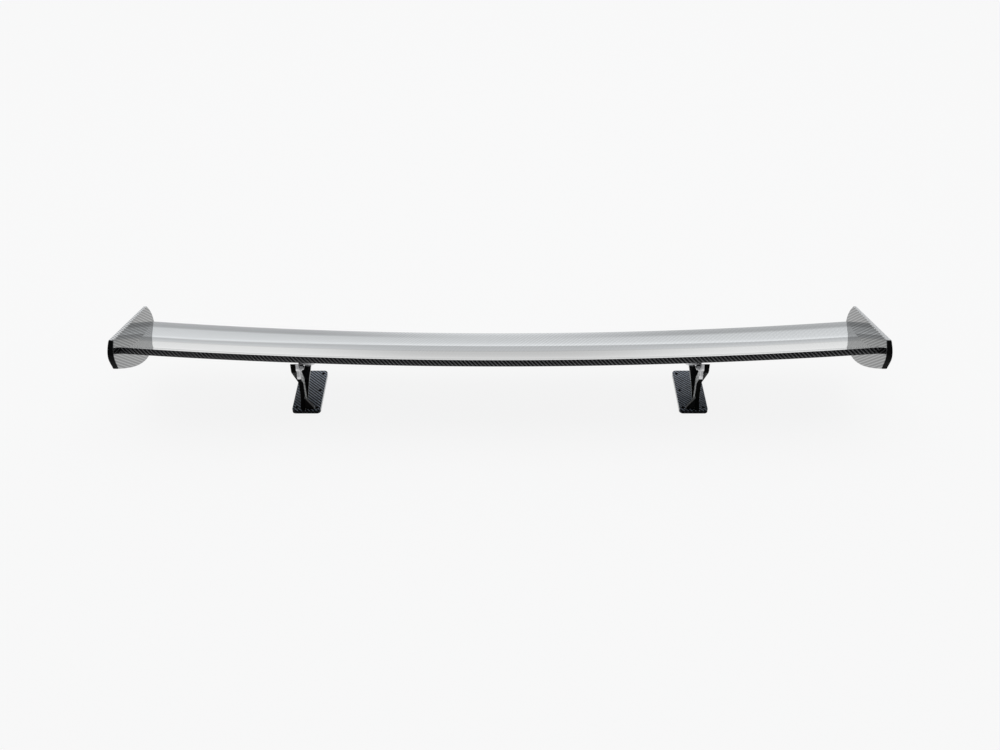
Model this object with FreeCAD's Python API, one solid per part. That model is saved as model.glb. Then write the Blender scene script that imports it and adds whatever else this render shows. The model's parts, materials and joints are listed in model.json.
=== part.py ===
"""Racing rear wing: a carbon aerofoil between two endplates, carried on two forked stands.

Row frame: +X right, +Y towards the car's nose, +Z square to the stands' base plates.
The origin lies midway between the stands, on the plane that the base gaskets rest on.
All lengths are in millimetres and all angles in degrees.
"""
import FreeCAD
import Part
import math
import os

from FreeCAD import Vector

# ---- wing: outside shape ----
SPAN = 1470.0              # between the endplates' inner faces
TIP_SAG = 26.0             # the centre hangs this far below the tips
CHORD = 212.0
CHORD_TILT = 22.0          # nose-down angle of the chord against the base plates
TIP_TE_Y = -100.0          # trailing edge's top corner at the endplates
TIP_TE_Z = 198.0
TE_HEIGHT = 13.0           # blunt trailing edge
STRIP_DEPTH = 4.0          # trailing edge strip, along the chord
CURVE_STEPS = 4            # spline points on each piece of the aerofoil
SPAN_PIECES = 14           # lengths that a full-span sweep is made in
BEYOND = 20.0              # a cut or a trimmed sweep runs on this far past the metal

# Aerofoil in chord coordinates: along the chord from the trailing edge, then square to it.
AEROFOIL = [
    [(0, 0), (28, -12.5), (68, -16), (110, -14.8)],
    [(110, -14.8), (152, -13.6), (186, -3), (204, -0.2)],
    [(204, -0.2), (209, 0.6), (CHORD, -1.5), (CHORD, -5)],
    [(CHORD, -5), (CHORD, -10), (205, -13.5), (196, -17)],
    [(196, -17), (160, -31), (120, -38), (84, -34)],
    [(84, -34), (55, -30.8), (25, -19.5), (0, -TE_HEIGHT)],
]
PARTING = [(-10, -6.5), (30, -14), (110, -25), (190, -10), (220, -5)]

# ---- wing: inside ----
SKIN = 1.6                 # laminate thickness of both wing skins
BOND = 0.25                # adhesive line between the skins and what they hold
REAR_SPAR = 24.0           # where each spar's web stands on the chord
FRONT_SPAR = 166.0
SPAR_DEPTH = 12.0
SPAR_WALL = 1.6
BETWEEN_SPARS = (40, 162)
RIB_STATIONS = (-620, -500, -250, 0, 250, 500, 620)
RIB_T = 3.0
RIB_HOLE_R = 6.5
RIB_HOLE_AT = (108, -25.5)
END_RIB_T = 14.0
END_RIB_CHORD = (STRIP_DEPTH + 2, 203)
HARDPOINT_SPAN = (370, 410)

# ---- endplates ----
ENDPLATE_MAX = 12.0        # thickest part of an endplate
ENDPLATE_BULGE_R = 250.0   # radius of its outer face
ENDPLATE_FLOOR = 6.5       # laminate left under a screw head
ENDPLATE_EDGE_R = 2.0
ENDPLATE_CORNER_R = 3.0
ENDPLATE_CROWN = (-100, -9)          # the dome's ridge passes here, in chord coordinates
ENDPLATE_CORNERS = {       # (y, z)
    "top_front": (80, 168),
    "top_rear": (-123, 232.5),
    "bottom_rear": (-136, 173),
    "front": (100, 118),
}
ENDPLATE_REAR = [(-136, 218), (-141.5, 205), (-140, 190)]
ENDPLATE_BELLY = [(-99, 145), (-50, 111.5), (-5, 87.5), (40, 77), (78, 89)]
ENDPLATE_NOSE = [(98, 136), (90.5, 153)]

# ---- stands ----
STAND_X = 401.5            # centre of a base plate
PLATE_W = 59.0
PLATE_L = 134.0
PLATE_T = 6.0
PLATE_CORNER_R = 8.0
PLATE_EDGE_R = 1.0
GASKET_T = 1.5
PLATE_TOP = GASKET_T + PLATE_T
HOLE_DX = 42.0             # car bolts: corner hole spacing
HOLE_DY = 112.0
CAR_BOLT_HOLE_R = 3.2
BLADE_IN = 402.0           # inner face of a blade
BLADE_T = 10.0
BLADE_EDGE_R = 0.8
GUSSET_Y = -62.0
GUSSET_T = 6.0
GUSSET_REACH = 17.0
GUSSET_RISE = 30.0
GUSSET_TOE = 4.0           # height of its free end
STIFFENER_W = 9.0
STIFFENER_FULL_Z = 62.0    # it narrows to nothing from here down to its foot

# Outlines as (y, z, corner radius); the blade is walked from the rear of its foot.
BLADE_OUTLINE = [
    (-66, PLATE_TOP, 0), (-51.5, 32, 30), (-51.5, 69, 24), (-101, 136, 14), (-99.5, 156, 1.5),
    (-70, 132.5, 8), (-33, 64, 5), (8, 77, 12), (15, 93, 6), (48, 86, 8), (43, 68, 16),
    (-4, 28, 40), (-28, PLATE_TOP, 0),
]
STIFFENER_OUTLINE = [
    (-37, 12, 0), (-37, 63, 5), (4, 75.6, 0), (5.5, 70.7, 0), (-32, 59, 3), (-32, 12, 0),
]

# ---- angle of attack ----
STEEPER = 6.0              # travel each way from the built angle
FLATTER = 1.0
SLIDE_GAP = 0.05           # between faces that slide over each other
BUSH_WALL = 1.5
RUN_CLEARANCE = 0.05
WASHER_T = 1.2
SPACER_T = 1.0
PIVOT = {"y": 28.0, "z": 83.0, "r": 4.0, "head_r": 7.5, "socket": 5.0, "washer_r": 7.5}
ADJUST = {"y": -88.0, "z": 139.0, "r": 3.0, "head_r": 6.0, "socket": 4.0, "washer_r": 6.0}
HEAD_RIM = 0.5             # straight rim of a countersunk head
HEAD_GAP = 0.05            # round a countersunk head in its seat
NUT_HEIGHT = 1.7           # a lock nut's height, flats and collar, as multiples of the bolt's radius
NUT_FLATS = 3.3
NUT_COLLAR_R = 1.45
NUT_COLLAR_H = 1.0
BOLT_STICK_OUT = 2.0       # thread showing past a nut's flats

# ---- wing brackets ----
WEB_T = 5.0
FLANGE_T = 4.0
FLANGE_W = 26.0
FLANGE_CHORD = (46, 184)
SEAT_GAP = 0.3             # sealant under the flange
SCREW_SEAT = 2.4           # flange left between the skin and a screw's seat
LOBE_HALF = 9.0            # metal round the slot
# Web outline in chord coordinates, (along, up, corner radius).
WEB_OUTLINE = [
    (15, -11, 0), (110, -24, 0), (186, -16, 0), (186, -36, 8), (172, -54, 12),
    (148, -54, 12), (128, -45, 30), (52, -43, 20), (40, -44, 4), (15, -34, 6),
]
BELOW_WING = [(-10, -90), (220, -90), (220, -5), (190, -10), (110, -20), (16, -14), (-10, -6.5)]

# ---- screws and inserts ----
HOLE_CLEARANCE = 0.15
THREAD_GAP = 0.02
HEAD_CLEARANCE = 0.4       # round a head that sits in a counterbore
SCREW_R = 3.0
SOCKET = 4.0
INSERT_WALL = 2.0
INSERT_LENGTH = 6.0
INSERT_START = 3.4         # depth of a bracket insert's mouth inside the wing
BRACKET_SCREW_X = 384.0
BRACKET_SCREWS = (58, 86, 120, 148)
BRACKET_HEAD_R = 5.0
BRACKET_HEAD_H = 3.5
BRACKET_SCREW_LENGTH = 11.0
FOOT_SCREWS = (-46, -30)
FOOT_HEAD_R = 5.0
FOOT_HEAD_H = 3.0
FOOT_HEAD_SINK = 0.2       # a foot screw's head stays this far inside the plate
FOOT_SCREW_DEPTH = 16.0
TIP_SCREW_R = 2.5
TIP_SOCKET = 3.0
TIP_HEAD_R = 4.75
TIP_HEAD_H = 2.8
TIP_SCREWS = ((46, -19.8), (106, -25), (164, -17))
TIP_INSERT_INSET = 1.0     # rib left inboard of a tip insert

# ---- values that follow ----
TILT = math.radians(CHORD_TILT)
CHORD_DIR = Vector(0, math.cos(TILT), -math.sin(TILT))
UP_DIR = Vector(0, math.sin(TILT), math.cos(TILT))
HALF_SPAN = SPAN / 2
BEND_R = (HALF_SPAN ** 2 + TIP_SAG ** 2) / (2 * TIP_SAG)
MID_TE = Vector(0, TIP_TE_Y, TIP_TE_Z) - UP_DIR * TIP_SAG
BEND_CENTRE = MID_TE + UP_DIR * BEND_R
BLADE_OUT = BLADE_IN + BLADE_T
BLADE_MID = BLADE_IN + BLADE_T / 2
WEB_OUT = BLADE_IN - SPACER_T - SLIDE_GAP
WEB_IN = WEB_OUT - WEB_T
NUT_FACE = WEB_IN - SLIDE_GAP - WASHER_T
BUSH_R = PIVOT["r"] + RUN_CLEARANCE + BUSH_WALL
SWING_R = math.hypot(ADJUST["y"] - PIVOT["y"], ADJUST["z"] - PIVOT["z"])
SWING_ANGLE = math.degrees(math.atan2(ADJUST["z"] - PIVOT["z"], ADJUST["y"] - PIVOT["y"]))


# ---- wing: working tools ----
def at(along, up, lift=0.0):
    """Point of the wing's middle section, raised square to the chord by lift."""
    return MID_TE + CHORD_DIR * along + UP_DIR * (up + lift)


def lift_at(x):
    """How far the bend raises the wing at one place on the span."""
    return BEND_R - math.sqrt(BEND_R ** 2 - x ** 2)


def polygon_face(points):
    """Flat face through (along, up) points of the middle section."""
    corners = [at(*p) for p in points]
    return Part.Face(Part.makePolygon(corners + corners[:1]))


def strip_of_chord(start, end):
    """Tall rectangle over one stretch of the chord."""
    return polygon_face([(start, -80), (end, -80), (end, 40), (start, 40)])


def bezier(poles, t):
    """Point and unit tangent of a cubic Bezier curve in chord coordinates."""
    point = [0.0, 0.0]
    slope = [0.0, 0.0]
    u = 1 - t
    for axis in (0, 1):
        p = [pole[axis] for pole in poles]
        point[axis] = u ** 3 * p[0] + 3 * u * u * t * p[1] + 3 * u * t * t * p[2] + t ** 3 * p[3]
        slope[axis] = u * u * (p[1] - p[0]) + 2 * u * t * (p[2] - p[1]) + t * t * (p[3] - p[2])
    length = math.hypot(slope[0], slope[1])
    return point, (slope[0] / length, slope[1] / length)


def grown(distance):
    """Face of the aerofoil offset outwards (positive) or inwards (negative)."""
    stations = [(poles, i / CURVE_STEPS) for poles in AEROFOIL for i in range(CURVE_STEPS)]
    stations.append((AEROFOIL[-1], 1.0))
    points = []
    for poles, t in stations:
        (along, up), (run, rise) = bezier(poles, t)
        points.append(at(along - rise * distance, up + run * distance))
    spline = Part.BSplineCurve()
    spline.interpolate(points)
    return Part.Face(Part.Wire([spline.toShape(), Part.makeLine(points[-1], points[0])]))


SECTION = grown(0)
INNER = grown(-SKIN)
CAVITY = grown(-SKIN - BOND)


def bottom_at(along):
    """Height of the wing's lower surface at one place on the chord."""
    hit = SECTION.common(Part.makeLine(at(along, -80), at(along, 40)))
    return min((v.Point - MID_TE).dot(UP_DIR) for v in hit.Vertexes)


def bend_angle(x):
    return math.degrees(math.asin(x / BEND_R))


def swing_to(shape, x):
    """Carry a shape from the middle section out along the wing's curve."""
    moved = shape.copy()
    moved.rotate(BEND_CENTRE, CHORD_DIR, -bend_angle(x))
    return moved


def sweep(face, x_start, x_end):
    """Sweep a section face along the wing's curve between two places on the span."""
    turn = bend_angle(x_start) - bend_angle(x_end)
    faces = swing_to(face, x_start).Faces
    solids = [f.revolve(BEND_CENTRE, CHORD_DIR, turn).toNurbs() for f in faces]
    return solids[0] if len(solids) == 1 else Part.makeCompound(solids)


def slab_between(x_start, x_end):
    """Everything between two planes square to the span."""
    return Part.makeBox(x_end - x_start, 600, 600, Vector(x_start, -300, -100))


def full_span(face):
    """Sweep over the whole span in short lengths, trimmed square at the endplates."""
    start = -HALF_SPAN - BEYOND
    step = (SPAN + 2 * BEYOND) / SPAN_PIECES
    pieces = [sweep(face, start + step * i, start + step * (i + 1)) for i in range(SPAN_PIECES)]
    return pieces[0].multiFuse(pieces[1:]).common(slab_between(-HALF_SPAN, HALF_SPAN))


# ---- flat plates, rods and screws ----
def rounded_outline(corners, x):
    """Closed wire in the plane X = x from (y, z, radius) corners."""
    points = [Vector(x, y, z) for y, z, _ in corners]
    count = len(corners)
    edges = []
    ends = []
    for i, (_, _, radius) in enumerate(corners):
        here = points[i]
        to_last = (points[i - 1] - here).normalize()
        to_next = (points[(i + 1) % count] - here).normalize()
        if radius == 0:
            ends.append((here, None, here))
            continue
        half = to_last.getAngle(to_next) / 2
        reach = radius / math.tan(half)
        centre = here + (to_last + to_next).normalize() * (radius / math.sin(half))
        middle = centre + (here - centre).normalize() * radius
        ends.append((here + to_last * reach, middle, here + to_next * reach))
    for i, (start, middle, end) in enumerate(ends):
        if middle is not None:
            edges.append(Part.Arc(start, middle, end).toShape())
        edges.append(Part.makeLine(end, ends[(i + 1) % count][0]))
    return Part.Wire(edges)


def plate(corners, x_start, thickness):
    face = Part.Face(rounded_outline(corners, x_start))
    return face.extrude(Vector(thickness, 0, 0))


def rod_x(y, z, radius, x_start, x_end):
    return Part.makeCylinder(radius, x_end - x_start, Vector(x_start, y, z), Vector(1, 0, 0))


def ring_x(y, z, outer, inner, x_start, x_end):
    return rod_x(y, z, outer, x_start, x_end).cut(rod_x(y, z, inner, x_start - 1, x_end + 1))


def hexagon_x(y, z, across_flats, x_start, x_end):
    reach = across_flats / math.sqrt(3)
    angles = [math.radians(60 * i) for i in range(6)]
    corners = [(y + reach * math.cos(a), z + reach * math.sin(a), 0) for a in angles]
    return plate(corners, x_start, x_end - x_start)


def hole_z(x, y, radius, z_end):
    """Cylinder that opens everything below z_end at one place."""
    return Part.makeCylinder(radius, z_end + BEYOND, Vector(x, y, -BEYOND))


def is_along_x(edge):
    box = edge.BoundBox
    return box.XLength > 1 and box.YLength < 0.01 and box.ZLength < 0.01


def arc_slot(half_width, below, above, x_start, x_end):
    """Curved slot about the pivot; below and above are angles from the rear bolt."""
    low = math.radians(SWING_ANGLE + below)
    high = math.radians(SWING_ANGLE - above)

    def polar(radius, angle):
        return Vector(x_start, PIVOT["y"] + radius * math.cos(angle), PIVOT["z"] + radius * math.sin(angle))

    def arc(radius, start, end):
        middle = polar(radius, (start + end) / 2)
        return Part.Arc(polar(radius, start), middle, polar(radius, end)).toShape()

    def cap(angle, sense):
        tip = polar(SWING_R, angle + sense * half_width / SWING_R)
        outer = polar(SWING_R + sense * half_width, angle)
        return Part.Arc(outer, tip, polar(SWING_R - sense * half_width, angle)).toShape()

    edges = [arc(SWING_R + half_width, high, low), cap(low, 1),
             arc(SWING_R - half_width, low, high), cap(high, -1)]
    return Part.Face(Part.Wire(edges)).extrude(Vector(x_end - x_start, 0, 0))


def socket_head_screw(radius, head_radius, head_height, length, socket_flats):
    """Screw along +Z with its head below the origin and its shank above."""
    head = Part.makeCylinder(head_radius, head_height, Vector(0, 0, -head_height))
    rim = [e for e in head.Edges if e.BoundBox.ZMax < -head_height + 0.01]
    head = head.makeFillet(min(0.6, head_height / 4), rim)
    socket = hexagon_x(0, 0, socket_flats, 0, head_height * 0.6)
    socket.rotate(Vector(0, 0, 0), Vector(0, 1, 0), -90)
    socket.translate(Vector(0, 0, -head_height))
    return head.fuse(Part.makeCylinder(radius, length)).cut(socket).removeSplitter()


def aim(shape, place, direction):
    """Turn a shape built along +Z to a direction and move it to a place."""
    turned = shape.copy()
    turned.Placement = FreeCAD.Placement(place, FreeCAD.Rotation(Vector(0, 0, 1), direction))
    return turned


# ---- wing ----
def skins():
    laminate = SECTION.cut(INNER).cut(strip_of_chord(-5, STRIP_DEPTH))
    above = polygon_face(PARTING + [(220, 60), (-10, 60)])
    upper = full_span(laminate.common(above))
    lower = full_span(laminate.cut(above))
    for along in BRACKET_SCREWS:
        start = at(along, bottom_at(along) - SKIN)
        hole = Part.makeCylinder(SCREW_R + HOLE_CLEARANCE, 4 * SKIN, start, UP_DIR)
        for side in (-1, 1):
            lower = lower.cut(swing_to(hole, side * BRACKET_SCREW_X))
    return upper, lower


def trailing_edge_strip():
    return full_span(SECTION.common(strip_of_chord(-5, STRIP_DEPTH)))


def spar(start):
    """Channel that fills the cavity's height, open towards the nose."""
    outside = CAVITY.common(strip_of_chord(start, start + SPAR_DEPTH))
    hollow = grown(-SKIN - BOND - SPAR_WALL)
    inside = hollow.common(strip_of_chord(start + SPAR_WALL, start + SPAR_DEPTH + BEYOND))
    end = HALF_SPAN - END_RIB_T - 3
    return sweep(outside.cut(inside), -end, end)


def ribs():
    """Light ribs between the two spars, each with a round lightening hole."""
    face = CAVITY.common(strip_of_chord(*BETWEEN_SPARS))
    centre = at(*RIB_HOLE_AT)
    hole = rod_x(centre.y, centre.z, RIB_HOLE_R, -RIB_T, RIB_T)
    shapes = []
    for x in RIB_STATIONS:
        web = sweep(face, x - RIB_T / 2, x + RIB_T / 2)
        shapes.append(web.cut(swing_to(hole, x)))
    return Part.makeCompound(shapes)


def end_rib():
    """Solid rib that closes the tip and holds the endplate's inserts."""
    face = CAVITY.common(strip_of_chord(*END_RIB_CHORD))
    block = sweep(face, HALF_SPAN - END_RIB_T - BEYOND, HALF_SPAN + BEYOND)
    block = block.common(slab_between(HALF_SPAN - END_RIB_T, HALF_SPAN - BOND))
    for p in tip_screw_places():
        bore = rod_x(p.y, p.z, TIP_SCREW_R + INSERT_WALL, HALF_SPAN - 2 * BEYOND, HALF_SPAN + BEYOND)
        block = block.cut(bore)
    return block


def hardpoint():
    """Solid block that carries one bracket's threaded inserts."""
    start, end = HARDPOINT_SPAN
    block = sweep(CAVITY.common(strip_of_chord(*BETWEEN_SPARS)), start - BEYOND, end + BEYOND)
    block = block.common(slab_between(start, end))
    for along in BRACKET_SCREWS:
        mouth = at(along, bottom_at(along) - BEYOND)
        bore = Part.makeCylinder(SCREW_R + INSERT_WALL, BEYOND + INSERT_START + INSERT_LENGTH, mouth, UP_DIR)
        block = block.cut(swing_to(bore, BRACKET_SCREW_X))
    return block


def bracket_inserts():
    rings = []
    for along in BRACKET_SCREWS:
        base = at(along, bottom_at(along) + INSERT_START)
        ring = Part.makeCylinder(SCREW_R + INSERT_WALL, INSERT_LENGTH, base, UP_DIR)
        ring = ring.cut(Part.makeCylinder(SCREW_R + THREAD_GAP, INSERT_LENGTH, base, UP_DIR))
        rings.append(swing_to(ring, BRACKET_SCREW_X))
    return Part.makeCompound(rings)


# ---- endplates ----
def tip_screw_places():
    return [at(along, up, TIP_SAG) for along, up in TIP_SCREWS]


def endplate_curve(start, through, end):
    """Edge of the endplate from one named corner to another."""
    places = [ENDPLATE_CORNERS[start]] + through + [ENDPLATE_CORNERS[end]]
    points = [Vector(HALF_SPAN, y, z) for y, z in places]
    if not through:
        return Part.makeLine(*points)
    spline = Part.BSplineCurve()
    spline.interpolate(points)
    return spline.toShape()


def endplate():
    """Right endplate: flat against the wing's tip, domed outside, with sunk screw seats."""
    edges = [
        endplate_curve("top_front", [], "top_rear"),
        endplate_curve("top_rear", ENDPLATE_REAR, "bottom_rear"),
        endplate_curve("bottom_rear", ENDPLATE_BELLY, "front"),
        endplate_curve("front", ENDPLATE_NOSE, "top_front"),
    ]
    slab = Part.Face(Part.Wire(edges)).extrude(Vector(ENDPLATE_MAX + 3, 0, 0))
    slab = slab.makeFillet(ENDPLATE_CORNER_R, [e for e in slab.Edges if is_along_x(e)])
    centre = at(*ENDPLATE_CROWN, TIP_SAG) + Vector(HALF_SPAN + ENDPLATE_MAX - ENDPLATE_BULGE_R, 0, 0)
    body = slab.common(Part.makeCylinder(ENDPLATE_BULGE_R, 500, centre, CHORD_DIR))
    outer = [e for e in body.Edges if e.BoundBox.XMin > HALF_SPAN + 1 and e.BoundBox.XLength < 8]
    inner = [e for e in body.Edges if e.BoundBox.XMax < HALF_SPAN + 0.01]
    body = body.makeFillet(ENDPLATE_EDGE_R, outer + inner)
    for p in tip_screw_places():
        seat = HALF_SPAN + ENDPLATE_FLOOR
        body = body.cut(rod_x(p.y, p.z, TIP_HEAD_R + HEAD_CLEARANCE, seat, seat + BEYOND))
        body = body.cut(rod_x(p.y, p.z, TIP_SCREW_R + HOLE_CLEARANCE, HALF_SPAN - 5, seat + BEYOND))
    return body


def tip_inserts():
    start = HALF_SPAN - END_RIB_T + TIP_INSERT_INSET
    outer = TIP_SCREW_R + INSERT_WALL
    inner = TIP_SCREW_R + THREAD_GAP
    rings = [ring_x(p.y, p.z, outer, inner, start, HALF_SPAN - BOND) for p in tip_screw_places()]
    return Part.makeCompound(rings)


def tip_screws():
    length = ENDPLATE_FLOOR + END_RIB_T - 3
    screw = socket_head_screw(TIP_SCREW_R, TIP_HEAD_R, TIP_HEAD_H, length, TIP_SOCKET)
    places = [Vector(HALF_SPAN + ENDPLATE_FLOOR, p.y, p.z) for p in tip_screw_places()]
    return Part.makeCompound([aim(screw, p, Vector(-1, 0, 0)) for p in places])


# ---- stands ----
def car_bolt_places():
    return [(STAND_X + sx * HOLE_DX / 2, sy * HOLE_DY / 2) for sx in (-1, 1) for sy in (-1, 0, 1)]


def foot_pad(z_start, thickness, edge_radius):
    """Rounded rectangle of a stand's foot, with the car bolts' six holes."""
    corner = Vector(STAND_X - PLATE_W / 2, -PLATE_L / 2, z_start)
    body = Part.makeBox(PLATE_W, PLATE_L, thickness, corner)
    upright = [e for e in body.Edges if e.BoundBox.ZLength > thickness - 0.1]
    body = body.makeFillet(PLATE_CORNER_R, upright)
    if edge_radius:
        rim = [e for e in body.Edges if e.BoundBox.ZMin > z_start + thickness - 0.01]
        body = body.makeFillet(edge_radius, rim)
    for x, y in car_bolt_places():
        body = body.cut(hole_z(x, y, CAR_BOLT_HOLE_R, z_start + thickness + 1))
    return body


def base_plate():
    body = foot_pad(GASKET_T, PLATE_T, PLATE_EDGE_R)
    seat = GASKET_T + FOOT_HEAD_SINK + FOOT_HEAD_H
    for y in FOOT_SCREWS:
        body = body.cut(hole_z(BLADE_MID, y, SCREW_R + HOLE_CLEARANCE, PLATE_TOP + 1))
        body = body.cut(hole_z(BLADE_MID, y, FOOT_HEAD_R + HEAD_CLEARANCE, seat))
    return body


def gasket():
    return foot_pad(0, GASKET_T, 0)


def blade():
    """Forked upright: one arm sweeps back to the slot bolt, the other forward to the pivot."""
    body = plate(BLADE_OUTLINE, BLADE_IN, BLADE_T)
    rim = [e for e in body.Edges if not is_along_x(e) and e.BoundBox.ZMax > PLATE_TOP + 0.1]
    body = body.makeFillet(BLADE_EDGE_R, rim)
    for bolt in (PIVOT, ADJUST):
        body = body.cut(rod_x(bolt["y"], bolt["z"], bolt["r"] + HOLE_CLEARANCE, BLADE_IN - 5, BLADE_OUT + 5))
        body = body.cut(countersunk_head(bolt, HEAD_GAP))
    for y in FOOT_SCREWS:
        body = body.cut(hole_z(BLADE_MID, y, SCREW_R + THREAD_GAP, PLATE_TOP + FOOT_SCREW_DEPTH + 1))
    return body


def gusset():
    """Corner brace between the base plate and the rear of the blade's foot."""
    profile = [(0, 0), (-GUSSET_REACH, 0), (-GUSSET_REACH, GUSSET_TOE), (0, GUSSET_RISE)]
    corners = [Vector(BLADE_IN + x, GUSSET_Y, PLATE_TOP + z) for x, z in profile]
    face = Part.Face(Part.makePolygon(corners + corners[:1]))
    return face.extrude(Vector(0, GUSSET_T, 0))


def stiffener():
    """Rib along the top of the forward arm that keeps the thin blade from buckling."""
    edge = BLADE_IN - STIFFENER_W
    foot = min(z for _, z, _ in STIFFENER_OUTLINE)
    profile = [(edge - 1, foot - 1), (BLADE_IN - 1, foot - 1), (BLADE_IN - 1, foot),
               (edge, STIFFENER_FULL_Z), (edge - 1, STIFFENER_FULL_Z)]
    corners = [Vector(x, -60, z) for x, z in profile]
    taper = Part.Face(Part.makePolygon(corners + corners[:1])).extrude(Vector(0, 100, 0))
    return plate(STIFFENER_OUTLINE, edge, STIFFENER_W).cut(taper)


def foot_screws():
    """Screws up through the base plate into the blade's foot."""
    length = PLATE_T - FOOT_HEAD_SINK - FOOT_HEAD_H + FOOT_SCREW_DEPTH
    screw = socket_head_screw(SCREW_R, FOOT_HEAD_R, FOOT_HEAD_H, length, SOCKET)
    seat = GASKET_T + FOOT_HEAD_SINK + FOOT_HEAD_H
    places = [Vector(BLADE_MID, y, seat) for y in FOOT_SCREWS]
    return Part.makeCompound([aim(screw, p, Vector(0, 0, 1)) for p in places])


# ---- wing brackets ----
def bracket_flange():
    """Foot of the bracket: it follows the wing's lower skin, with four screw seats."""
    band = grown(SEAT_GAP + FLANGE_T).cut(grown(SEAT_GAP))
    band = band.common(strip_of_chord(*FLANGE_CHORD)).common(polygon_face(BELOW_WING))
    flange = sweep(band, WEB_OUT - FLANGE_W - BEYOND, WEB_OUT + BEYOND)
    flange = flange.common(slab_between(WEB_OUT - FLANGE_W, WEB_OUT))
    for along in BRACKET_SCREWS:
        floor = bottom_at(along) - SEAT_GAP - SCREW_SEAT
        start = at(along, floor - BEYOND)
        seat = Part.makeCylinder(BRACKET_HEAD_R + HEAD_CLEARANCE, BEYOND, start, UP_DIR)
        hole = Part.makeCylinder(SCREW_R + HOLE_CLEARANCE, 2 * BEYOND, start, UP_DIR)
        flange = flange.cut(swing_to(seat.fuse(hole), BRACKET_SCREW_X))
    return flange


def bracket_web():
    """Upright of the bracket, with the bush's bore in front and the arc slot behind."""
    lift = lift_at(WEB_IN)
    places = [(at(along, up, lift), radius) for along, up, radius in WEB_OUTLINE]
    web = plate([(p.y, p.z, radius) for p, radius in places], WEB_IN, WEB_T)
    web = web.fuse(arc_slot(LOBE_HALF, STEEPER + 1, FLATTER + 1, WEB_IN, WEB_OUT))
    web = web.cut(sweep(grown(SEAT_GAP + FLANGE_T / 2), WEB_IN - BEYOND, WEB_OUT + BEYOND))
    slot_half = ADJUST["r"] + HOLE_CLEARANCE
    web = web.cut(arc_slot(slot_half, STEEPER + 0.5, FLATTER + 0.5, WEB_IN - 1, WEB_OUT + 1))
    return web.cut(rod_x(PIVOT["y"], PIVOT["z"], BUSH_R, WEB_IN - 1, WEB_OUT + 1))


def wing_bracket():
    return bracket_flange().fuse(bracket_web()).removeSplitter()


def bracket_screws():
    """Screws up through the flange into the hardpoint's inserts."""
    screw = socket_head_screw(SCREW_R, BRACKET_HEAD_R, BRACKET_HEAD_H, BRACKET_SCREW_LENGTH, SOCKET)
    screws = []
    for along in BRACKET_SCREWS:
        seat = at(along, bottom_at(along) - SEAT_GAP - SCREW_SEAT)
        screws.append(swing_to(aim(screw, seat, UP_DIR), BRACKET_SCREW_X))
    return Part.makeCompound(screws)


def pivot_bush():
    return ring_x(PIVOT["y"], PIVOT["z"], BUSH_R, PIVOT["r"] + RUN_CLEARANCE, WEB_IN, WEB_OUT)


# ---- stand bolts ----
def countersunk_head(bolt, gap=0.0):
    """A bolt's head, flush with the blade's outer face; gap grows it into its seat."""
    rim = rod_x(bolt["y"], bolt["z"], bolt["head_r"] + gap, BLADE_OUT - HEAD_RIM - gap, BLADE_OUT)
    depth = bolt["head_r"] - bolt["r"]
    mouth = Vector(BLADE_OUT - HEAD_RIM - gap, bolt["y"], bolt["z"])
    cone = Part.makeCone(bolt["head_r"] + gap, bolt["r"] + gap, depth, mouth, Vector(-1, 0, 0))
    return rim.fuse(cone)


def cross_bolt(bolt):
    """Flush bolt from the outboard side through the blade and the web."""
    start = NUT_FACE - bolt["r"] * NUT_HEIGHT - BOLT_STICK_OUT
    shank = rod_x(bolt["y"], bolt["z"], bolt["r"], start, BLADE_OUT)
    socket_depth = bolt["head_r"] - bolt["r"]
    socket = hexagon_x(bolt["y"], bolt["z"], bolt["socket"], BLADE_OUT - socket_depth, BLADE_OUT + 1)
    return countersunk_head(bolt).fuse(shank).cut(socket).removeSplitter()


def lock_nut(bolt):
    end = NUT_FACE - bolt["r"] * NUT_HEIGHT
    body = hexagon_x(bolt["y"], bolt["z"], bolt["r"] * NUT_FLATS, end, NUT_FACE)
    body = body.fuse(rod_x(bolt["y"], bolt["z"], bolt["r"] * NUT_COLLAR_R, end - NUT_COLLAR_H, NUT_FACE))
    thread = rod_x(bolt["y"], bolt["z"], bolt["r"] + THREAD_GAP, end - 5, NUT_FACE + 1)
    return body.cut(thread).removeSplitter()


def bolt_washers(bolt):
    """One under the nut and one between the web and the blade."""
    bore = bolt["r"] + RUN_CLEARANCE
    stretches = [(NUT_FACE, WASHER_T), (BLADE_IN - SPACER_T, SPACER_T)]
    rings = [ring_x(bolt["y"], bolt["z"], bolt["washer_r"], bore, x, x + depth) for x, depth in stretches]
    return Part.makeCompound(rings)


def both_sides(name, shape):
    """A right-hand piece and its mirror image."""
    mirrored = shape.mirror(Vector(0, 0, 0), Vector(1, 0, 0))
    return {name + "_right": shape, name + "_left": mirrored}


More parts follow.
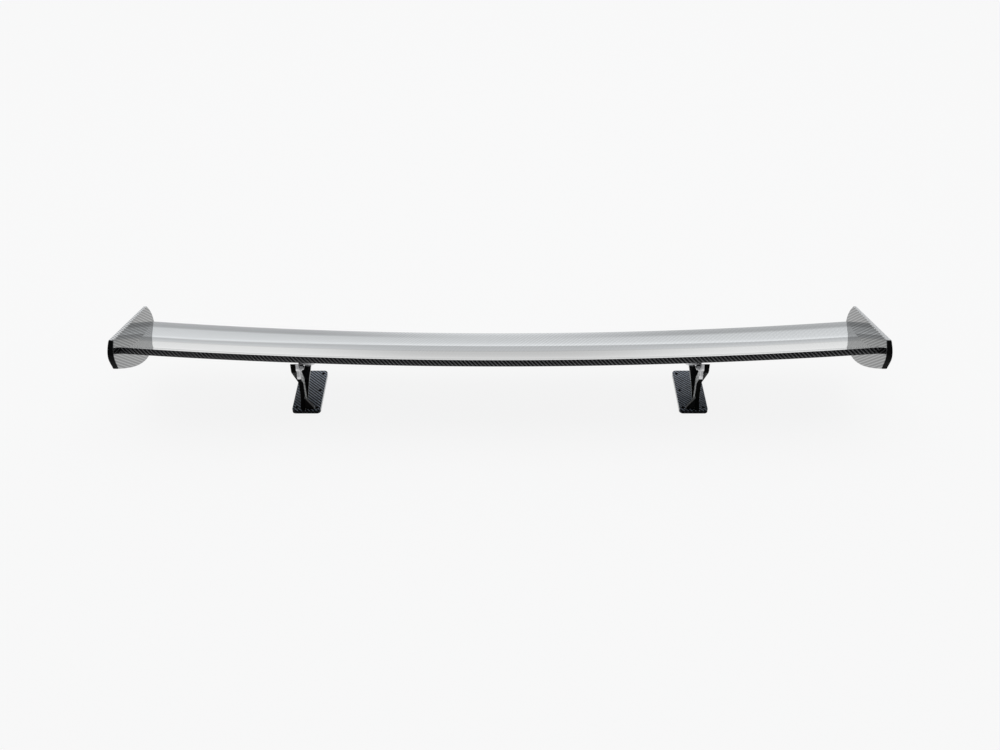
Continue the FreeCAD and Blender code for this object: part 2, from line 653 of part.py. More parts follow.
def build():
    upper, lower = skins()
    nodes = {
        "upper_skin": upper,
        "lower_skin": lower,
        "trailing_edge_strip": trailing_edge_strip(),
        "rear_spar": spar(REAR_SPAR),
        "front_spar": spar(FRONT_SPAR),
        "ribs": ribs(),
    }
    paired = {
        "end_rib": end_rib(),
        "endplate": endplate(),
        "endplate_inserts": tip_inserts(),
        "endplate_screws": tip_screws(),
        "hardpoint": hardpoint(),
        "bracket_inserts": bracket_inserts(),
        "bracket_screws": bracket_screws(),
        "wing_bracket": wing_bracket(),
        "pivot_bush": pivot_bush(),
        "pivot_bolt": cross_bolt(PIVOT),
        "pivot_nut": lock_nut(PIVOT),
        "pivot_washers": bolt_washers(PIVOT),
        "adjuster_bolt": cross_bolt(ADJUST),
        "adjuster_nut": lock_nut(ADJUST),
        "adjuster_washers": bolt_washers(ADJUST),
        "stand_blade": blade(),
        "stand_gusset": gusset(),
        "stand_stiffener": stiffener(),
        "foot_screws": foot_screws(),
        "base_plate": base_plate(),
        "base_gasket": gasket(),
    }
    for name, shape in paired.items():
        nodes.update(both_sides(name, shape))
    return nodes


os.makedirs("parts", exist_ok=True)
for node, shape in build().items():
    shape.exportStep("parts/" + node + ".step")
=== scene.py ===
"""Looks of the racing rear wing: clear-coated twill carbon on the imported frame, in a pale studio.

In the frame's axes, in metres: +X right, +Y towards the car's nose, +Z square to the base plates.
"""

import json
import math

import bpy
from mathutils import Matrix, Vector


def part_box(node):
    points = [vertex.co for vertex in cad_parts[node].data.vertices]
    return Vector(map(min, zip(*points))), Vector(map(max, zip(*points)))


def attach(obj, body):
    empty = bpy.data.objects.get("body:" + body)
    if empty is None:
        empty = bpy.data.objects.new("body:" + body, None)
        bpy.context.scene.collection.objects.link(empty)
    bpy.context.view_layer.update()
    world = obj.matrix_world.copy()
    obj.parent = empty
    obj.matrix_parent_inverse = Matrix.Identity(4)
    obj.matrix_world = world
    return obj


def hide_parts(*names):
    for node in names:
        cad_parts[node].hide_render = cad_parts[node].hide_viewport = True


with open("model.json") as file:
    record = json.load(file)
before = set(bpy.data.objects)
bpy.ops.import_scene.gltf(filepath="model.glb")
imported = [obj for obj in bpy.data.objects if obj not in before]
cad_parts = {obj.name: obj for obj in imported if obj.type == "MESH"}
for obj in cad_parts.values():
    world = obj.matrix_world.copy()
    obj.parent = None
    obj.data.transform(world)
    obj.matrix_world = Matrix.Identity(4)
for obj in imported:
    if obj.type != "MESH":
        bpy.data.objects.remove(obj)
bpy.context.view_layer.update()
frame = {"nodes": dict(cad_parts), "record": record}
NODES = frame["nodes"]

# ---- wing: the same driving dimensions as the frame's ----
MM = 0.001
TIP_SAG = 26 * MM          # how far the middle hangs below the tips
TILT = math.radians(22)    # how far the chord drops towards the nose
TE_HEIGHT = 13 * MM        # height of the trailing edge's face
STRIP_DEPTH = 4 * MM       # how far the trailing edge's strip reaches forward
SKIN = 1.6 * MM            # thickness of the skins
NOSE_PARTING = 0.15        # place on the nose's lower curve where the two skins meet
CORNER_R = 0.5 * MM        # rounding of the trailing edge's two corners
BULGE = 0.7 * MM           # the trailing edge's face stands proud by this much halfway down
STATIONS = 140             # sections along the span
CURVE_POINTS = 18          # points on each piece of the aerofoil
FACE_POINTS = 10           # steps down the trailing edge's face
CORNER_SKIP = 6            # points beside each rear corner that its rounding takes the place of
HALVINGS = 40              # steps of a bisection
SHARP_EDGE = math.radians(35)   # edges that turn further than this stay sharp

# Cubic curves in chord coordinates, millimetres: along the chord, then square to it. They run from
# the trailing edge over the top to the nose, and back underneath.
AEROFOIL = [
    [(0, 0), (28, -12.5), (68, -16), (110, -14.8)],
    [(110, -14.8), (152, -13.6), (186, -3), (204, -0.2)],
    [(204, -0.2), (209, 0.6), (212, -1.5), (212, -5)],
    [(212, -5), (212, -10), (205, -13.5), (196, -17)],
    [(196, -17), (160, -31), (120, -38), (84, -34)],
    [(84, -34), (55, -30.8), (25, -19.5), (0, -13)],
]
TOP_REAR = 0               # the piece of the aerofoil that starts at the top of the trailing edge
NOSE_CURVE = 3             # the piece that the skins meet on
BOTTOM_REAR = 5            # the piece that ends at the bottom of the trailing edge

# ---- places that come from the frame ----
CHORD_DIR = Vector((0, math.cos(TILT), -math.sin(TILT)))
UP_DIR = Vector((0, math.sin(TILT), math.cos(TILT)))
STRIP_LO, STRIP_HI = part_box("trailing_edge_strip")
HALF_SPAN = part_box("endplate_right")[0].x
BEND_R = (HALF_SPAN ** 2 + TIP_SAG ** 2) / (2 * TIP_SAG)
TIP_TE = Vector((0, STRIP_LO.y + (TE_HEIGHT + TIP_SAG) * math.sin(TILT), STRIP_HI.z))
MID_TE = TIP_TE - UP_DIR * TIP_SAG


# ---- wing skins ----
def bezier(poles, t):
    """Point and unit normal (outwards) of a cubic curve in chord coordinates, in metres."""
    u = 1 - t
    p = [Vector(pole) * MM for pole in poles]
    point = u ** 3 * p[0] + 3 * u * u * t * p[1] + 3 * u * t * t * p[2] + t ** 3 * p[3]
    slope = u * u * (p[1] - p[0]) + 2 * u * t * (p[2] - p[1]) + t * t * (p[3] - p[2])
    slope.normalize()
    return point, Vector((-slope.y, slope.x))


def outline(first, last):
    """(point, normal) along the aerofoil between two (piece, t) places."""
    samples = []
    for piece in range(first[0], last[0] + 1):
        start = first[1] if piece == first[0] else 0.0
        end = last[1] if piece == last[0] else 1.0
        steps = CURVE_POINTS + 1 if piece == last[0] else CURVE_POINTS
        for i in range(steps):
            t = start + (end - start) * i / CURVE_POINTS
            samples.append(bezier(AEROFOIL[piece], t))
    return samples


def t_at(piece, along):
    """Where one piece of the aerofoil crosses a place on the chord, by bisection."""
    low, high = 0.0, 1.0
    rising = AEROFOIL[piece][3][0] > AEROFOIL[piece][0][0]
    for _ in range(HALVINGS):
        t = (low + high) / 2
        if (bezier(AEROFOIL[piece], t)[0].x < along) == rising:
            low = t
        else:
            high = t
    return (low + high) / 2


def place(x, along, up):
    """A point of the bent wing at one place on the span."""
    radius = BEND_R - up
    rise = BEND_R - math.sqrt(radius ** 2 - x ** 2)
    return MID_TE + CHORD_DIR * along + UP_DIR * rise + Vector((x, 0, 0))


def loft(name, loop):
    """Closed solid that carries a closed loop of (along, up) points along the wing's span."""
    count = len(loop)
    girth = [0.0]
    for i in range(count):
        girth.append(girth[-1] + (loop[(i + 1) % count] - loop[i]).length)
    stations = [HALF_SPAN * (2 * i / STATIONS - 1) for i in range(STATIONS + 1)]
    verts = [place(x, p.x, p.y) for x in stations for p in loop]
    faces = []
    weave = []
    for s in range(STATIONS):
        for i in range(count):
            j = (i + 1) % count
            faces.append((s * count + i, s * count + j, (s + 1) * count + j, (s + 1) * count + i))
            near, far = stations[s], stations[s + 1]
            weave += [(near, girth[i]), (near, girth[i + 1]), (far, girth[i + 1]), (far, girth[i])]
    for s, order in ((0, -1), (STATIONS, 1)):
        cap = list(range(count))[::order]
        faces.append([s * count + i for i in cap])
        weave += [tuple(loop[i]) for i in cap]
    return make_mesh(name, verts, faces, weave)


def make_mesh(name, verts, faces, weave):
    """Mesh object whose corners carry their place on the cloth."""
    mesh = bpy.data.meshes.new(name)
    mesh.from_pydata(verts, [], faces)
    layer = mesh.uv_layers.new(name="weave")
    for item, uv in zip(layer.data, weave):
        item.uv = uv
    mesh.shade_smooth()
    mesh.set_sharp_from_angle(angle=SHARP_EDGE)
    obj = bpy.data.objects.new(name, mesh)
    bpy.context.scene.collection.objects.link(obj)
    return obj


def shell_loop(samples):
    """Loop round a skin: along its outside, then back along its inside."""
    outside = [point for point, _ in samples]
    inside = [point - normal * SKIN for point, normal in samples]
    return outside + inside[::-1]


def rounded_corner(corner, before, after, radius, steps=4):
    """Points of a small arc that replaces a corner between two neighbours."""
    a = (before - corner).normalized()
    b = (after - corner).normalized()
    half = a.angle(b) / 2
    centre = corner + (a + b).normalized() * radius / math.sin(half)
    start = corner + a * radius / math.tan(half) - centre
    end = corner + b * radius / math.tan(half) - centre
    points = []
    for i in range(steps + 1):
        mixed = start.lerp(end, i / steps)
        points.append(centre + mixed.normalized() * radius)
    return points


def strip_loop():
    """Section of the blunt trailing edge, with its two rear corners rounded."""
    top_end = (TOP_REAR, t_at(TOP_REAR, STRIP_DEPTH))
    bottom_start = (BOTTOM_REAR, t_at(BOTTOM_REAR, STRIP_DEPTH))
    top = [point for point, _ in outline((TOP_REAR, 0), top_end)]
    bottom = [point for point, _ in outline(bottom_start, (BOTTOM_REAR, 1))]
    upper = rounded_corner(top[0], bottom[-1], top[-1], CORNER_R)
    lower = rounded_corner(bottom[-1], bottom[0], top[0], CORNER_R)
    face = [lower[-1].lerp(upper[0], i / FACE_POINTS) for i in range(1, FACE_POINTS)]
    for i, point in enumerate(face, start=1):
        point.x -= BULGE * math.sin(math.pi * i / FACE_POINTS)
    return upper + top[CORNER_SKIP:] + bottom[:-CORNER_SKIP] + lower + face


def build_wing():
    """The wing's two skins and its trailing edge, each in place of its CAD node."""
    parting = (NOSE_CURVE, NOSE_PARTING)
    upper = outline((TOP_REAR, t_at(TOP_REAR, STRIP_DEPTH)), parting)
    lower = outline(parting, (BOTTOM_REAR, t_at(BOTTOM_REAR, STRIP_DEPTH)))
    pieces = {
        "upper_skin": loft("wing_upper_skin", shell_loop(upper)),
        "lower_skin": loft("wing_lower_skin", shell_loop(lower)),
        "trailing_edge_strip": loft("wing_trailing_edge", strip_loop()),
    }
    for node, piece in pieces.items():
        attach(piece, "wing")
        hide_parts(node)
    return pieces


# ---- shader tools ----
MIX_COLOUR_A = 6           # a Mix node's sockets, by number, when it mixes colours
MIX_COLOUR_B = 7
MIX_COLOUR_OUT = 2
EDGE_DOT = (0.97, 0.8)     # cosines of a bevel's turn at which an edge starts to show, and is full
SQUARE_ON = 0.7            # a face looks along an axis if its normal has more than this of it
STRAND_STRETCH = 40.0      # how much longer a filament is than it is wide
STRAND_SCALE = 90.0
GRAIN = (0.35, 0.7)        # span of a noise's values that fine grain uses
BACKWARD = (1, -1)         # directions as (axis, sign)
UPWARD = (2, 1)


class Graph:
    """Short ways to add nodes to a node tree and to join them."""

    def __init__(self, tree):
        self.tree = tree

    def add(self, kind, **settings):
        node = self.tree.nodes.new(kind)
        for key, value in settings.items():
            setattr(node, key, value)
        return node

    def join(self, source, target):
        """Feed a socket or a plain value into an input."""
        if isinstance(source, bpy.types.NodeSocket):
            self.tree.links.new(source, target)
        else:
            target.default_value = source

    def math(self, operation, a, b=0.0, c=0.0):
        node = self.add("ShaderNodeMath", operation=operation)
        for source, target in zip((a, b, c), node.inputs):
            self.join(source, target)
        return node.outputs[0]

    def between(self, factor, a, b):
        """a where the factor is 0, b where it is 1, for numbers."""
        return self.math("MULTIPLY_ADD", factor, self.math("SUBTRACT", b, a), a)

    def mix(self, factor, a, b):
        """a where the factor is 0, b where it is 1, for colours."""
        node = self.add("ShaderNodeMix", data_type="RGBA")
        self.join(factor, node.inputs["Factor"])
        self.join(a, node.inputs[MIX_COLOUR_A])
        self.join(b, node.inputs[MIX_COLOUR_B])
        return node.outputs[MIX_COLOUR_OUT]

    def ramp(self, value, low, high, to_low=0.0, to_high=1.0):
        """to_low up to low, to_high from high on, and smooth between."""
        node = self.add("ShaderNodeMapRange", interpolation_type="SMOOTHSTEP")
        for source, target in zip((value, low, high, to_low, to_high), node.inputs):
            self.join(source, target)
        return node.outputs[0]

    def noise(self, vector, scale, detail):
        node = self.add("ShaderNodeTexNoise")
        self.join(vector, node.inputs["Vector"])
        node.inputs["Scale"].default_value = scale
        node.inputs["Detail"].default_value = detail
        return node.outputs["Fac"]

    def combine(self, x, y, z=0.0):
        node = self.add("ShaderNodeCombineXYZ")
        for source, target in zip((x, y, z), node.inputs):
            self.join(source, target)
        return node.outputs[0]

    def split(self, vector):
        node = self.add("ShaderNodeSeparateXYZ")
        self.join(vector, node.inputs[0])
        return node.outputs[0], node.outputs[1], node.outputs[2]

    def bump(self, height, distance, strength=1.0):
        node = self.add("ShaderNodeBump")
        self.join(height, node.inputs["Height"])
        self.join(distance, node.inputs["Distance"])
        self.join(strength, node.inputs["Strength"])
        return node.outputs[0]

    def low_angle(self, start, full):
        """0 on faces that look at the eye, 1 on those seen from the side."""
        facing = self.add("ShaderNodeLayerWeight").outputs["Facing"]
        return self.ramp(facing, start, full)

    def seen(self):
        """1 for what the camera sees directly, 0 for what only lights or is mirrored."""
        return self.add("ShaderNodeLightPath").outputs["Is Camera Ray"]

    def place(self):
        return self.add("ShaderNodeTexCoord").outputs["Object"]


class Material(Graph):
    """The nodes of a new material."""

    def __init__(self, name):
        self.material = bpy.data.materials.new(name)
        self.material.use_nodes = True
        super().__init__(self.material.node_tree)
        self.shader = self.tree.nodes["Principled BSDF"]

    def set(self, **inputs):
        """Feed the shader's inputs, named with _ for a space."""
        for name, value in inputs.items():
            self.join(value, self.shader.inputs[name.replace("_", " ")])


def opaque(colour, share=1.0):
    """A colour, or a lighter or darker share of it, with full alpha."""
    return (*[channel * share for channel in colour], 1)


def face_plane(graph):
    """Two coordinates in the plane that a face lies in, whichever way it looks."""
    x, y, z = graph.split(graph.place())
    nx, _, nz = graph.split(graph.add("ShaderNodeNewGeometry").outputs["True Normal"])
    sideways = graph.math("GREATER_THAN", graph.math("ABSOLUTE", nx), SQUARE_ON)
    level = graph.math("GREATER_THAN", graph.math("ABSOLUTE", nz), SQUARE_ON)
    return graph.between(sideways, x, y), graph.between(level, z, y)


def woven_plane(graph):
    """The two coordinates that the wing's own pieces carry with their mesh."""
    u, v, _ = graph.split(graph.add("ShaderNodeUVMap", uv_map="weave").outputs[0])
    return u, v


def facing_way(graph, direction, start, full, to_low=0.0, to_high=1.0):
    """to_high on faces that look in a direction, to_low on the others."""
    axis, sign = direction
    normal = graph.split(graph.add("ShaderNodeNewGeometry").outputs["True Normal"])[axis]
    return graph.ramp(graph.math("MULTIPLY", normal, sign), start, full, to_low, to_high)


def edge_mask(graph, radius):
    """1 close to an edge, 0 on open faces."""
    bevel = graph.add("ShaderNodeBevel", samples=4)
    bevel.inputs["Radius"].default_value = radius
    plain = graph.add("ShaderNodeNewGeometry").outputs["Normal"]
    dot = graph.add("ShaderNodeVectorMath", operation="DOT_PRODUCT")
    graph.join(bevel.outputs[0], dot.inputs[0])
    graph.join(plain, dot.inputs[1])
    return graph.ramp(dot.outputs["Value"], *EDGE_DOT)


def twill(graph, u, v, tow):
    """2x2 twill: (1 where the warp is on top, height of the top yarn)."""
    a = graph.math("DIVIDE", u, tow)
    b = graph.math("DIVIDE", v, tow)

    def crown(position):
        fraction = graph.math("FRACT", position)
        return graph.math("SINE", graph.math("MULTIPLY", fraction, math.pi))

    def rise(position):
        phase = graph.math("MULTIPLY", position, math.pi / 2)
        return graph.math("SINE", phase)

    warp = graph.math("MULTIPLY", rise(graph.math("ADD", graph.math("FLOOR", a), b)), crown(a))
    weft_rise = graph.math("MULTIPLY", rise(graph.math("ADD", a, graph.math("FLOOR", b))), -1.0)
    weft = graph.math("MULTIPLY", weft_rise, crown(b))
    return graph.math("GREATER_THAN", warp, weft), graph.math("MAXIMUM", warp, weft)


def strands(graph, u, v, warp):
    """Fine filaments that run along whichever yarn is on top."""
    narrow_u = graph.math("MULTIPLY", u, STRAND_STRETCH)
    narrow_v = graph.math("MULTIPLY", v, STRAND_STRETCH)
    along_v = graph.noise(graph.combine(narrow_u, v), STRAND_SCALE, detail=1.0)
    along_u = graph.noise(graph.combine(u, narrow_v), STRAND_SCALE, detail=1.0)
    return graph.between(warp, along_u, along_v)


# ---- carbon ----
TOW = 2.0 * MM             # width of one carbon yarn
LACQUER = (0.965, 0.985, 0.98)  # tint of the lacquer's shine
RESIN_AND_SHADE = (0.004, 0.004, 0.005)   # colour of the hollows between yarns: the resin there, with painted shade
SCUFF = (0.16, 0.17, 0.19)      # colour of a worn edge
PAINTED_BACK_SHADE = (0.002, 0.002, 0.002)    # painted shade: colour of faces that look back
CROWN_HEIGHT = 0.6         # height at which a bright yarn shows its full painted sheen
HOLLOW = (0.75, 0.25)      # heights at which a hollow starts, and is full
HOLLOW_DEPTH = 0.6
FILAMENT_DARK = 0.45       # a dark filament's share of its yarn's colour
FILAMENT_DEPTH = 0.35
CLOUD = (0.3, 0.7)         # span of a noise's values that broad patches use
CLOUD_SCALE = 9.0
PATCHY_ROUGH = (0.8, 1.25)      # roughness in the broad patches, against the plain value
COAT_ROUGH = (0.01, 0.04)
WEAVE_DEPTH = 0.12 * MM
RELIEF = 0.6               # strength of the weave's relief, seen square on
RELIEF_LOW = 0.01          # the same at a low angle, where the lacquer hides it
SCUFF_WIDTH = 0.8 * MM
LOOKS_BACK = (0.3, 0.7)    # sines of a face's turn at which it starts to count, and is full
LOOKS_UP = (0.35, 0.7)
LOOKS_DOWN = (-0.3, 0.0)   # sines of its upward turn, below 0, between which the shine returns

# The wing's lacquer, with a painted map of where its reflection is brighter or dimmer. Places are in
# metres, out along the span and forward round the upper skin from the trailing edge. The lower skin
# starts at the nose, and UNDER_SHINE, a painted shade, thins nearly all of it.
REAR_HALF = (0.145, 0.095) # places round the skin where the rear half starts, and is full
TIPS = (0.12, 0.5)         # places on the span between which its shine grows
NOSE = (0.174, 0.186)      # places round the skin where the nose starts, and is full
NOSE_SPAN = 0.45           # place on the span from which the nose has its thinnest shine
FRONT_SHINE = 1.07         # shine in front of the rear half, against the piece's plain value
REAR_LOSS = 0.54           # what the rear half has less, in the middle of the span
TIP_GAIN = 0.6             # what it has back at the tips
NOSE_LOSS = 0.48           # what the nose has less, out from NOSE_SPAN
UNDER_SHINE = 0.35         # painted shade: share of the shine on faces that look down


def skin_shine(graph, u, v):
    """Painted map of the wing's reflection: brighter at the ends of the rear half, dimmer on the nose
    and below.
    """
    out = graph.math("ABSOLUTE", u)
    tips = graph.ramp(out, *TIPS)
    rear = graph.math("MULTIPLY_ADD", tips, TIP_GAIN, -REAR_LOSS)
    gain = graph.math("MULTIPLY", graph.ramp(v, *REAR_HALF), rear)
    loss = graph.ramp(out, 0.0, NOSE_SPAN, 0.0, NOSE_LOSS)
    nose = graph.math("MULTIPLY", graph.ramp(v, *NOSE), loss)
    above = graph.math("SUBTRACT", graph.math("ADD", gain, FRONT_SHINE), nose)
    return graph.math("MULTIPLY", above, facing_way(graph, UPWARD, *LOOKS_DOWN, UNDER_SHINE, 1.0))


def even_shine(graph, u, v):
    """The same lacquer all over."""
    return 1.0


def cloth(graph, u, v, yarns):
    """Twill with painted sheen and shade on its yarns: (colour, height, how far a bright yarn shows).
    """
    bright, dark = yarns
    warp, height = twill(graph, u, v, TOW)
    crown = graph.math("MULTIPLY", warp, graph.ramp(height, 0.0, CROWN_HEIGHT))
    # Painted sheen on the crowns of the yarns that catch the light, painted shade on the others.
    shade = graph.mix(crown, opaque(dark), opaque(bright))
    filament = graph.ramp(strands(graph, u, v, warp), *GRAIN, 0.0, FILAMENT_DEPTH)
    shade = graph.mix(filament, shade, opaque(dark, FILAMENT_DARK))
    # The hollows are darkened: partly the resin there, partly painted shade.
    hollow = graph.ramp(height, *HOLLOW, 0.0, HOLLOW_DEPTH)
    return graph.mix(hollow, shade, opaque(RESIN_AND_SHADE)), height, crown


def lacquer(graph, strength, crown, show):
    """The lacquer's colour, with some of the weave showing in it."""
    weave = graph.math("MULTIPLY_ADD", crown, show, 1.0 - show / 2)
    scaled = graph.add("ShaderNodeVectorMath", operation="SCALE")
    scaled.inputs[0].default_value = LACQUER
    graph.join(graph.math("MULTIPLY", strength, weave), scaled.inputs["Scale"])
    return scaled.outputs[0]


def carbon(name, plane, yarns, mirror, turn=(0.35, 0.6), rough=0.3, metal=0.5, coat=1.0, worn=0.0,
           shine=even_shine, show=0.5, lid=0.0, rear=0.0, gleam=0.5, low=(0.06, 1.0)):
    """Clear-coated twill laminate.

    plane gives the cloth's two coordinates, and yarns are its two colours: a painted sheen for the
    yarn that catches the light, and a painted shade for the other. mirror is its shine once a face
    turns away from the eye, between the two facings in turn; shine is a map of it over the piece; show
    is how much of the weave stays visible in it; lid is its value on edges that look up, a painted
    highlight; low is its roughness and metalness, and with low metalness the lacquer's colour there is
    a painted sheen. rough, metal, coat and gleam, the plain reflection, are for faces seen square on.
    worn is how far edges are scuffed, and rear how far faces that look back are blackened with painted
    shade.
    """
    g = Material(name)
    u, v = plane(g)
    shade, height, crown = cloth(g, u, v, yarns)
    cloud = g.noise(g.place(), CLOUD_SCALE, detail=4.0)
    low_angle = g.low_angle(*turn)
    if worn:
        scuffed = g.math("MULTIPLY", edge_mask(g, SCUFF_WIDTH), worn)
        shade = g.mix(scuffed, shade, opaque(SCUFF))
    # Painted shade: faces that look back are made near black, and their gleam, coat and shine are cut.
    if rear:
        back = g.math("MULTIPLY", facing_way(g, BACKWARD, *LOOKS_BACK), rear)
        front = g.math("SUBTRACT", 1.0, back)
        shade = g.mix(back, shade, opaque(PAINTED_BACK_SHADE))
        gleam = g.math("MULTIPLY", front, gleam)
        coat = g.math("MULTIPLY", front, coat)
        low_angle = g.math("MULTIPLY", front, low_angle)
    if mirror:
        strength = g.math("MULTIPLY", shine(g, u, v), mirror)
        # Painted highlight: faces that look up get this shine instead.
        if lid:
            strength = g.between(facing_way(g, UPWARD, *LOOKS_UP), strength, lid)
        shade = g.mix(low_angle, shade, lacquer(g, strength, crown, show))
        low_rough, low_metal = low
        rough = g.between(low_angle, rough, low_rough)
        metal = g.between(low_angle, metal, low_metal)
    if rear:
        metal = g.math("MULTIPLY", front, metal)
    g.set(Base_Color=shade, Metallic=metal, Specular_IOR_Level=gleam)
    g.set(Roughness=g.math("MULTIPLY", rough, g.ramp(cloud, *CLOUD, *PATCHY_ROUGH)))
    g.set(Coat_Weight=coat, Coat_Roughness=g.ramp(cloud, *CLOUD, *COAT_ROUGH), Coat_IOR=1.5)
    g.set(Normal=g.bump(height, WEAVE_DEPTH, g.between(low_angle, RELIEF, RELIEF_LOW)))
    return g.material


# ---- other materials ----
METAL_PATCHES = 140.0      # scale of the patches on metal
METAL_MARKS = 900.0        # scale of its turning marks
METAL_MARK_DEPTH = 0.02 * MM
METAL_EDGE = 0.5 * MM      # width of its bright edges
METAL_ROUGH = (0.75, 1.35) # roughness in the patches, against the plain value
METAL_WIDE = (0.2, 0.8)    # span of a noise's values that this uses
METAL_RELIEF = 0.5
PATCH_DARK = 0.6           # a dark patch's share of the metal's colour
PATCH_DEPTH = 0.5
MATT_PATCHES = 30.0        # scale of the paler patches on matt pieces
MATT_SPECKS = (0.35, 0.65) # spans of a noise's values that specks and patches use
MATT_WIDE = (0.3, 0.8)
MATT_RELIEF = 0.6
PALE_SHARE = 1.4           # a pale patch's share of the piece's colour
PALE_DEPTH = 0.3
SPECK_DARK = 0.7           # a dark speck's share of the piece's colour


def metal(name, colour, rough, wear=(0.6, 0.6, 0.62), amount=0.35):
    """Machined or plated metal with fine turning marks, patches and brighter edges."""
    g = Material(name)
    patches = g.noise(g.place(), METAL_PATCHES, detail=4.0)
    marks = g.noise(g.place(), METAL_MARKS, detail=2.0)
    edge = g.math("MULTIPLY", edge_mask(g, METAL_EDGE), amount)
    dulled = g.ramp(patches, *GRAIN, 0.0, PATCH_DEPTH)
    base = g.mix(dulled, opaque(colour), opaque(colour, PATCH_DARK))
    base = g.mix(edge, base, opaque(wear))
    g.set(Base_Color=base, Metallic=1.0)
    g.set(Roughness=g.ramp(patches, *METAL_WIDE, *[rough * share for share in METAL_ROUGH]))
    g.set(Normal=g.bump(marks, METAL_MARK_DEPTH, METAL_RELIEF))
    return g.material


def matt(name, colour, rough, grain, depth):
    """Uncoated board or rubber, with a speckle of this grain and depth."""
    g = Material(name)
    speck = g.noise(g.place(), grain, detail=5.0)
    patches = g.noise(g.place(), MATT_PATCHES, detail=3.0)
    base = g.mix(g.ramp(speck, *MATT_SPECKS), opaque(colour, SPECK_DARK), opaque(colour))
    paled = g.ramp(patches, *MATT_WIDE, 0.0, PALE_DEPTH)
    base = g.mix(paled, base, opaque(colour, PALE_SHARE))
    g.set(Base_Color=base, Roughness=rough)
    g.set(Normal=g.bump(speck, depth, MATT_RELIEF))
    return g.material


def make_materials():
    """Every slot's material, by the slot's name."""
    # Each pair is a lit and a shaded colour of the same black fibre: painted sheen and painted shade.
    grey = ((0.085, 0.088, 0.095), (0.012, 0.013, 0.015))
    stark = ((0.2, 0.2, 0.205), (0.003, 0.003, 0.004))
    blue = ((0.5, 0.58, 0.70), (0.006, 0.008, 0.012))
    black = ((0.02, 0.021, 0.024), (0.005, 0.005, 0.006))
    edge_on = (0.72, 0.84)
    return {
        "carbon_skin": carbon("carbon_skin", woven_plane, grey, mirror=0.62, shine=skin_shine),
        "carbon_strip": carbon("carbon_strip", woven_plane, stark, mirror=0.2, metal=0.3, coat=0.08,
                               gleam=0.15),
        # The endplates' edges that look up carry a painted highlight.
        "carbon_endplate": carbon("carbon_endplate", face_plane, grey, mirror=0.2, coat=0.6, worn=0.1,
                                  show=1.4, lid=1.0, rear=0.95),
        # The stands' lacquer colour on faces seen from the side is mostly diffuse: a painted sheen.
        "carbon_stand": carbon("carbon_stand", face_plane, black, mirror=0.5, turn=edge_on, coat=0.1,
                               worn=0.05, rear=0.95, gleam=0.15, low=(0.5, 0.2)),
        "carbon_plate": carbon("carbon_plate", face_plane, blue, mirror=0.3, turn=edge_on, metal=0.1,
                               coat=0.15, rear=0.95, gleam=0.2),
        "carbon_dry": carbon("carbon_dry", face_plane, grey, mirror=0, rough=0.6, metal=0.2, coat=0.0),
        "hardpoint_board": matt("hardpoint_board", (0.32, 0.27, 0.2), 0.8, 500.0, 0.05 * MM),
        "bracket_alloy": metal("bracket_alloy", (0.7, 0.7, 0.71), 0.42, wear=(0.85, 0.85, 0.85)),
        "black_steel": metal("black_steel", (0.05, 0.05, 0.055), 0.38, amount=0.25),
        "zinc_steel": metal("zinc_steel", (0.55, 0.55, 0.56), 0.3, wear=(0.8, 0.8, 0.8)),
        "insert_brass": metal("insert_brass", (0.75, 0.6, 0.3), 0.3, wear=(0.9, 0.8, 0.55)),
        "bush_bronze": metal("bush_bronze", (0.62, 0.46, 0.24), 0.35, wear=(0.8, 0.65, 0.4)),
        "gasket_rubber": matt("gasket_rubber", (0.02, 0.02, 0.02), 0.85, 900.0, 0.04 * MM),
    }


def paint(pieces):
    """Give every CAD node, and every piece that stands for one, its slot's material."""
    materials = make_materials()
    for entry in frame["record"]["subparts"]:
        name = entry["node"]
        slot_name = entry["material_slot"]
        shown = [NODES[name]]
        if name in pieces:
            shown.append(pieces[name])
        for obj in shown:
            obj.data.materials.clear()
            obj.data.materials.append(materials[slot_name])


# ---- studio ----
FLOOR_HALF = 30.0
FLOOR_DROP = 0.2 * MM      # gap under the gaskets, so that no two faces meet
FLOOR_GREY = 0.06          # what the floor scatters, so that shadows stay faint
FLOOR_GLOW = 0.875         # what it gives off near the wing
FLOOR_GLOW_FAR = 0.7       # the same far ahead, in reflections
FLOOR_NEAR = 2.6           # places ahead between which that change comes
FLOOR_FAR = 6.0
BACKDROP = 0.93            # brightness of the surroundings where the camera sees them
DAYLIGHT = (0.96, 0.975, 1.0, 1)
WALL_TOP = 0.172           # sine of the height at which the bright lamp band starts
WALL_DIM = 0.7             # brightness of the wall just below it
WALL_FOOT = 0.85           # brightness of the wall at the horizon
LAMP_EDGE = 1.2            # brightness of the band's lower edge, against 1 above it
LAMP_SOFT = 0.006          # half the height over which the band starts
LAMP_FALL = 0.08           # height over which it falls from its edge's brightness to 1
BAND_DROOP = 0.05          # how much lower the band sits to the sides than straight ahead
BEHIND = -0.55             # directions, as sines, between which the surroundings brighten
AHEAD = 0.15
BEHIND_DIM = 0.28          # brightness behind the camera, against 1 ahead
LAMP_AT = Vector((0, 0.6, 3.0))
LAMP_SIZE = (3.5, 2.5)
LAMP_POWER = 40.0
VIEW_DOWN = math.radians(38.8)
CAMERA_AT = Vector((0, -1.794, 1.491))
LENS = 39.6
SENSOR = 36.0
FARTHEST = 200.0           # how far the camera sees


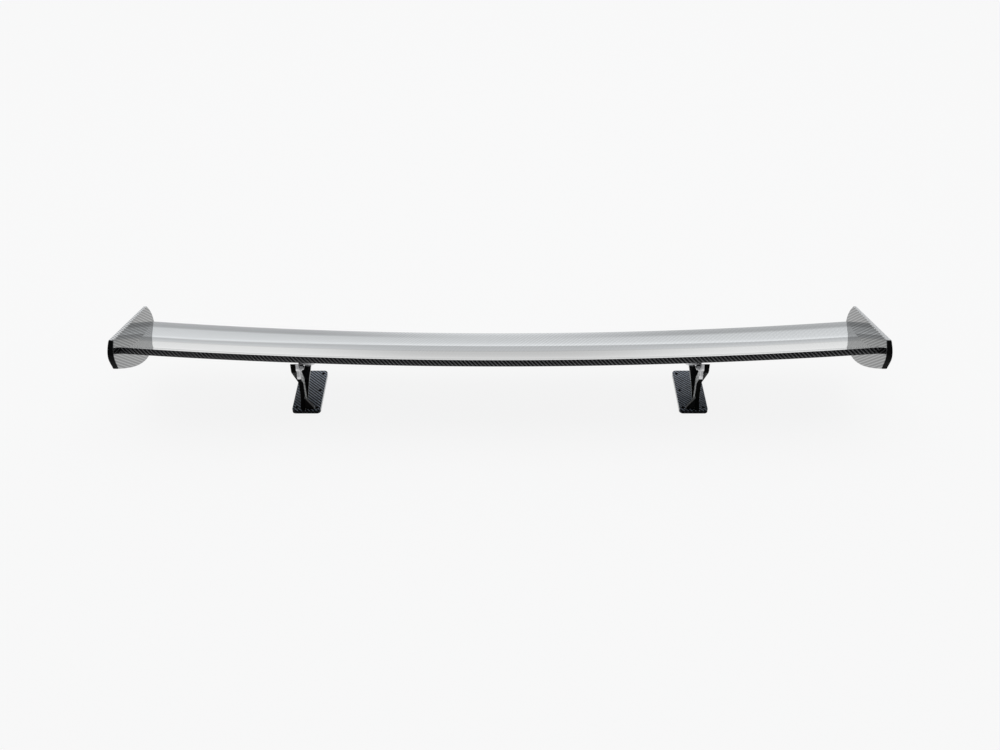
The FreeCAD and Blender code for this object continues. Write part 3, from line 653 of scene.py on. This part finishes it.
def build_floor():
    """A glowing pale floor."""
    mesh = bpy.data.meshes.new("studio_floor")
    corners = [(-1, -1), (1, -1), (1, 1), (-1, 1)]
    verts = [(x * FLOOR_HALF, y * FLOOR_HALF, -FLOOR_DROP) for x, y in corners]
    mesh.from_pydata(verts, [], [(0, 1, 2, 3)])
    floor = bpy.data.objects.new("studio_floor", mesh)
    bpy.context.scene.collection.objects.link(floor)
    g = Material("studio_floor")
    _, away, _ = g.split(g.place())
    mirrored = g.ramp(away, FLOOR_NEAR, FLOOR_FAR, FLOOR_GLOW, FLOOR_GLOW_FAR)
    glow = g.between(g.seen(), mirrored, FLOOR_GLOW)
    g.set(Base_Color=opaque((FLOOR_GREY, FLOOR_GREY, FLOOR_GREY)), Roughness=0.9)
    g.set(Emission_Color=(1, 1, 1, 1), Emission_Strength=glow, Specular_IOR_Level=0.1)
    mesh.materials.append(g.material)


def build_world():
    """What the object mirrors: a lamp band above a dimmer wall ahead, and dark behind the camera.

    Seen directly, it is an even pale backdrop.
    """
    world = bpy.data.worlds.new("studio")
    bpy.context.scene.world = world
    world.use_nodes = True
    g = Graph(world.node_tree)
    x, y, z = g.split(g.add("ShaderNodeTexCoord").outputs["Generated"])
    height = g.math("ADD", z, g.ramp(g.math("MULTIPLY", x, x), 0.0, BAND_DROOP, 0.0, BAND_DROOP))
    ahead = g.ramp(y, BEHIND, AHEAD, BEHIND_DIM, 1.0)
    wall = g.ramp(height, 0.0, WALL_TOP, WALL_FOOT, WALL_DIM)
    lamp = g.ramp(height, WALL_TOP - LAMP_SOFT, WALL_TOP + LAMP_SOFT, 1.0, LAMP_EDGE / WALL_DIM)
    above = g.ramp(height, WALL_TOP, WALL_TOP + LAMP_FALL, 1.0, 1.0 / LAMP_EDGE)
    mirrored = g.math("MULTIPLY", g.math("MULTIPLY", ahead, wall), g.math("MULTIPLY", lamp, above))
    background = world.node_tree.nodes["Background"]
    g.join(g.between(g.seen(), mirrored, BACKDROP), background.inputs["Strength"])
    g.join(DAYLIGHT, background.inputs["Color"])


def build_lamp():
    """One large soft lamp overhead, turned to the object."""
    data = bpy.data.lights.new("key", "AREA")
    data.shape = "RECTANGLE"
    data.size, data.size_y = LAMP_SIZE
    data.energy = LAMP_POWER
    lamp = bpy.data.objects.new("key", data)
    lamp.location = LAMP_AT
    lamp.rotation_euler = (-LAMP_AT).to_track_quat("-Z", "Y").to_euler()
    bpy.context.scene.collection.objects.link(lamp)


def build_camera():
    """The camera, behind the wing and above it."""
    data = bpy.data.cameras.new("camera")
    data.lens = LENS
    data.sensor_width = SENSOR
    data.clip_end = FARTHEST
    camera = bpy.data.objects.new("camera", data)
    camera.location = CAMERA_AT
    camera.rotation_euler = (math.pi / 2 - VIEW_DOWN, 0, 0)
    bpy.context.scene.collection.objects.link(camera)
    bpy.context.scene.camera = camera


def build_studio():
    build_floor()
    build_world()
    build_lamp()
    build_camera()
    bpy.context.scene.view_settings.view_transform = "Standard"


paint(build_wing())
build_studio()
